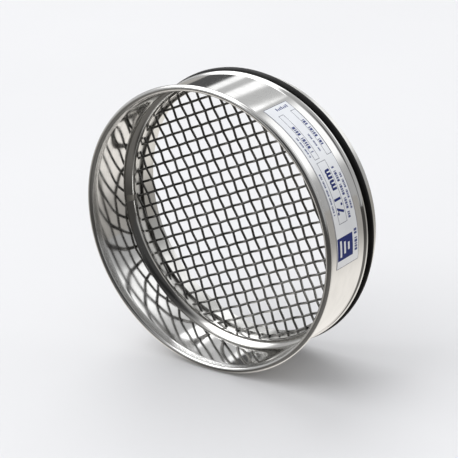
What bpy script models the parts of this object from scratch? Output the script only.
"""A 200 mm round sieve: a spun steel frame with a rolled rim, a nesting skirt with a rubber seal,
and a crimped wire cloth clamped between a retaining ring and the skirt's turned-in flange.

Metres, +Z up. The origin is on the sieve's axis, in the plane of the skirt's bottom edge, so the
sieve stands on z = 0 with its rim up.
"""

import math

import bmesh
import bpy
from mathutils import Vector

MM = 0.001

# Driving dimensions, in millimetres.
SHEET = 0.8                 # thickness of the frame's and the skirt's sheet
WALL_INNER_R = 100.2        # inside of the frame's straight wall
SKIRT_HEIGHT = 19.6         # from the bottom edge to the middle of the turned-in flange
SKIRT_OUTER_R = 98.4        # the skirt nests inside the wall of the next sieve down
HEM_CENTRE_R = 93.9         # the flange ends in a small rolled hem
HEM_ROLL_R = 0.9            # middle of the sheet round the hem's section
CLOTH_Z = 22.3              # middle plane of the wire cloth at its clamped edge
RIM_CENTRE_R = 102.95       # centre of the rolled rim's round section
RIM_CENTRE_Z = 65.33
RIM_ROLL_R = 1.9            # middle of the sheet round the rim's section
BEAD_CENTRE_R = 99.1        # centre of the lower bead's round section
BEAD_CENTRE_Z = 17.0
BEAD_ROLL_R = 2.8           # middle of the sheet round the bead's section
SEAL_CENTRE_R = 101.1
SEAL_CENTRE_Z = 10.92
SEAL_SECTION_R = 2.32
GAP = 0.35                  # clearance between pieces that sit against each other

# The wire cloth: openings of 7.1 mm nominal size between 1.8 mm wires.
WIRE_R = 0.9
CRIMP = 0.98                # height of a wire's crown above the cloth's middle
CLOTH_R = 98.0              # the cloth is trimmed to this circle
SAG = 3.5                   # the cloth has bellied down this far in the middle
SAG_START_R = 94.7          # and hangs free inside this circle
WARP_COUNT = 21
WARP_FIRST_X = -89.206
WARP_PITCH = 8.946
WEFT_COUNT = 22
WEFT_FIRST_Y = -92.123
WEFT_PITCH = 8.889

# Facets of the turned pieces.
RING_STEPS = 60

WALL_MID_R = WALL_INNER_R + SHEET / 2
SKIRT_MID_R = SKIRT_OUTER_R - SHEET / 2
CLOTH_TOP_Z = CLOTH_Z + CRIMP + WIRE_R


def clear_scene():
    for old_object in list(bpy.data.objects):
        bpy.data.objects.remove(old_object, do_unlink=True)


def make_material(name, colour, metallic, roughness):
    material = bpy.data.materials.new(name)
    material.use_nodes = True
    shader = material.node_tree.nodes["Principled BSDF"]
    shader.inputs["Base Color"].default_value = (*colour, 1.0)
    shader.inputs["Metallic"].default_value = metallic
    shader.inputs["Roughness"].default_value = roughness
    return material


def arc(centre_r, centre_z, radius, start_deg, end_deg, segments):
    """Points (radius from the axis, height) along an arc in the section plane."""
    points = []
    for step in range(segments + 1):
        angle = math.radians(start_deg + (end_deg - start_deg) * step / segments)
        points.append((centre_r + radius * math.cos(angle), centre_z + radius * math.sin(angle)))
    return points


def add_piece(name, data, material, collection, parent):
    data.materials.append(material)
    piece = bpy.data.objects.new(name, data)
    collection.objects.link(piece)
    piece.parent = parent
    return piece


def section_mesh(name, points, closed):
    """The edges of a section in the XZ plane, from points in millimetres."""
    mesh = bpy.data.meshes.new(name)
    section = bmesh.new()
    corners = [section.verts.new((radius * MM, 0.0, height * MM)) for radius, height in points]
    for first, second in zip(corners, corners[1:]):
        section.edges.new((first, second))
    if closed:
        section.edges.new((corners[-1], corners[0]))
    section.to_mesh(mesh)
    section.free()
    return mesh


def add_screw(piece, steps, angle_deg=360.0):
    screw = piece.modifiers.new("Turn", "SCREW")
    screw.axis = "Z"
    screw.angle = math.radians(angle_deg)
    screw.steps = steps
    screw.render_steps = steps
    screw.use_merge_vertices = angle_deg == 360.0
    screw.merge_threshold = 0.00001
    screw.use_smooth_shade = True


def add_thickness(piece, thickness):
    solidify = piece.modifiers.new("Sheet", "SOLIDIFY")
    solidify.thickness = thickness * MM
    solidify.offset = 0.0
    solidify.use_even_offset = True


def turned_sheet(name, path, material, collection, parent):
    """A piece spun from sheet: the path runs along the middle of the sheet."""
    piece = add_piece(name, section_mesh(name, path, closed=False), material, collection, parent)
    add_screw(piece, RING_STEPS)
    add_thickness(piece, SHEET)
    return piece


def turned_solid(name, outline, material, collection, parent):
    """A solid ring: the outline starts by running down its outer side."""
    piece = add_piece(name, section_mesh(name, outline, closed=True), material, collection, parent)
    add_screw(piece, RING_STEPS)
    return piece


def frame_path():
    """The frame's sheet, from the folded lower bead up the wall and round the rolled rim."""
    meets_wall_deg = math.degrees(math.acos((WALL_MID_R - BEAD_CENTRE_R) / BEAD_ROLL_R))
    bead = arc(BEAD_CENTRE_R, BEAD_CENTRE_Z, BEAD_ROLL_R, -90.0, meets_wall_deg, 5)
    flare_start = (WALL_MID_R, RIM_CENTRE_Z - 8.0)
    rim = arc(RIM_CENTRE_R, RIM_CENTRE_Z, RIM_ROLL_R, 180.0, -108.0, 8)
    return bead + [flare_start] + rim


def skirt_path():
    """The skirt's sheet, from its bottom edge up to the hemmed flange that carries the cloth."""
    bend_r = 1.4
    bend = arc(SKIRT_MID_R - bend_r, SKIRT_HEIGHT - bend_r, bend_r, 0.0, 90.0, 3)
    hem = arc(HEM_CENTRE_R, SKIRT_HEIGHT - HEM_ROLL_R, HEM_ROLL_R, 90.0, 250.0, 5)
    return [(SKIRT_MID_R, 0.0)] + bend + hem


def retaining_ring_path():
    """The ring that holds the cloth down: from the wall it slopes in and steepens to an upright lip."""
    lip_r = 95.8
    seat_z = CLOTH_TOP_Z + GAP
    outer_slope_deg = 36.0
    outer_r = WALL_INNER_R - GAP - SHEET / 2 * math.sin(math.radians(outer_slope_deg))
    knee_r = 98.33
    knee_z = seat_z + 3.25
    outer_z = knee_z + (outer_r - knee_r) * math.tan(math.radians(outer_slope_deg))
    return [(outer_r, outer_z), (knee_r, knee_z), (96.61, seat_z + 1.45), (lip_r, seat_z + 0.4), (lip_r, seat_z)]


def solder_outline():
    """A low fillet of solder along the foot of the retaining ring's lip."""
    outer_r = 95.05
    inner_r = 94.2
    foot_z = CLOTH_TOP_Z + GAP
    return [(outer_r, foot_z + 0.9), (outer_r, foot_z), (inner_r, foot_z), (inner_r + 0.25, foot_z + 0.4)]


def seal_outline():
    section = arc(SEAL_CENTRE_R, SEAL_CENTRE_Z, SEAL_SECTION_R, 90.0, -270.0, 10)
    return section[:-1]


def make_label(material, collection, parent):
    """A thin curved plate on the outside of the wall."""
    start_deg = -30.2
    span_deg = 71.2
    bottom_z = 26.6
    top_z = 52.7
    plate = 0.25
    middle_r = WALL_INNER_R + SHEET + 0.3 + plate / 2
    edge = section_mesh("label_plate", [(middle_r, top_z), (middle_r, bottom_z)], closed=False)
    label = add_piece("label_plate", edge, material, collection, parent)
    label.rotation_euler.z = math.radians(start_deg)
    add_screw(label, 12, span_deg)
    add_thickness(label, plate)
    return label


def cloth_level(x, y):
    """Height of the cloth's middle above its clamped edge: zero at the edge, lowest at the axis."""
    return -SAG * max(0.0, 1.0 - (x * x + y * y) / SAG_START_R ** 2)


def wire_points(offset, crossings, first_crown):
    """Corner points of one crimped wire along its own X, from end to end of its chord.

    offset is the wire's distance from the axis, crossings are the places of the wires it
    crosses, and first_crown is +1 where it passes over the first of them.
    """
    half_chord = math.sqrt(CLOTH_R ** 2 - offset ** 2)
    pitch = crossings[1] - crossings[0]
    crowns = [(place, first_crown * CRIMP * (-1) ** index) for index, place in enumerate(crossings)]
    inside = [crown for crown in crowns if abs(crown[0]) < half_chord]
    ends = []
    for end, (place, height), inward in ((-half_chord, inside[0], 1), (half_chord, inside[-1], -1)):
        way_to_next_crown = (place - end) * inward / pitch
        ends.append((end, height * (1.0 - 2.0 * way_to_next_crown)))
    zigzag = [ends[0]] + inside + [ends[1]]
    return [(along, height + cloth_level(along, offset)) for along, height in zigzag]


def make_wire(name, points, material, collection, parent):
    curve = bpy.data.curves.new(name, "CURVE")
    curve.dimensions = "3D"
    curve.twist_mode = "Z_UP"
    curve.bevel_depth = WIRE_R * MM
    curve.bevel_resolution = 1
    curve.use_fill_caps = True
    spline = curve.splines.new("POLY")
    spline.points.add(len(points) - 1)
    for point, (along, height) in zip(spline.points, points):
        point.co = (along * MM, 0.0, height * MM, 1.0)
    return add_piece(name, curve, material, collection, parent)


def make_cloth(material, collection, parent):
    """The woven cloth: warp wires run along Y and weft wires along X, each over and under."""
    warp_x = [WARP_FIRST_X + index * WARP_PITCH for index in range(WARP_COUNT)]
    weft_y = [WEFT_FIRST_Y + index * WEFT_PITCH for index in range(WEFT_COUNT)]
    for index, x in enumerate(warp_x):
        points = wire_points(x, weft_y, 1 if index % 2 == 0 else -1)
        wire = make_wire(f"warp_wire_{index + 1:02d}", points, material, collection, parent)
        wire.location = Vector((x, 0.0, CLOTH_Z)) * MM
        wire.rotation_euler.z = math.radians(90.0)
    for index, y in enumerate(weft_y):
        points = wire_points(y, warp_x, -1 if index % 2 == 0 else 1)
        wire = make_wire(f"weft_wire_{index + 1:02d}", points, material, collection, parent)
        wire.location = Vector((0.0, y, CLOTH_Z)) * MM


def build_sieve():
    clear_scene()
    collection = bpy.data.collections.new("soil_sieve")
    bpy.context.scene.collection.children.link(collection)
    sieve = bpy.data.objects.new("soil_sieve", None)
    collection.objects.link(sieve)

    polished_steel = make_material("polished_steel", (0.78, 0.76, 0.72), 1.0, 0.18)
    satin_steel = make_material("satin_steel", (0.62, 0.61, 0.58), 1.0, 0.35)
    wire_steel = make_material("wire_steel", (0.20, 0.20, 0.19), 1.0, 0.35)
    solder = make_material("solder", (0.70, 0.69, 0.66), 1.0, 0.45)
    seal_rubber = make_material("seal_rubber", (0.02, 0.02, 0.02), 0.0, 0.55)
    label_foil = make_material("label_foil", (0.72, 0.75, 0.80), 0.3, 0.4)

    turned_sheet("frame_wall", frame_path(), polished_steel, collection, sieve)
    turned_sheet("skirt_ring", skirt_path(), satin_steel, collection, sieve)
    turned_sheet("retaining_ring", retaining_ring_path(), polished_steel, collection, sieve)
    turned_solid("solder_fillet", solder_outline(), solder, collection, sieve)
    turned_solid("seal_ring", seal_outline(), seal_rubber, collection, sieve)
    make_label(label_foil, collection, sieve)
    make_cloth(wire_steel, collection, sieve)


build_sieve()
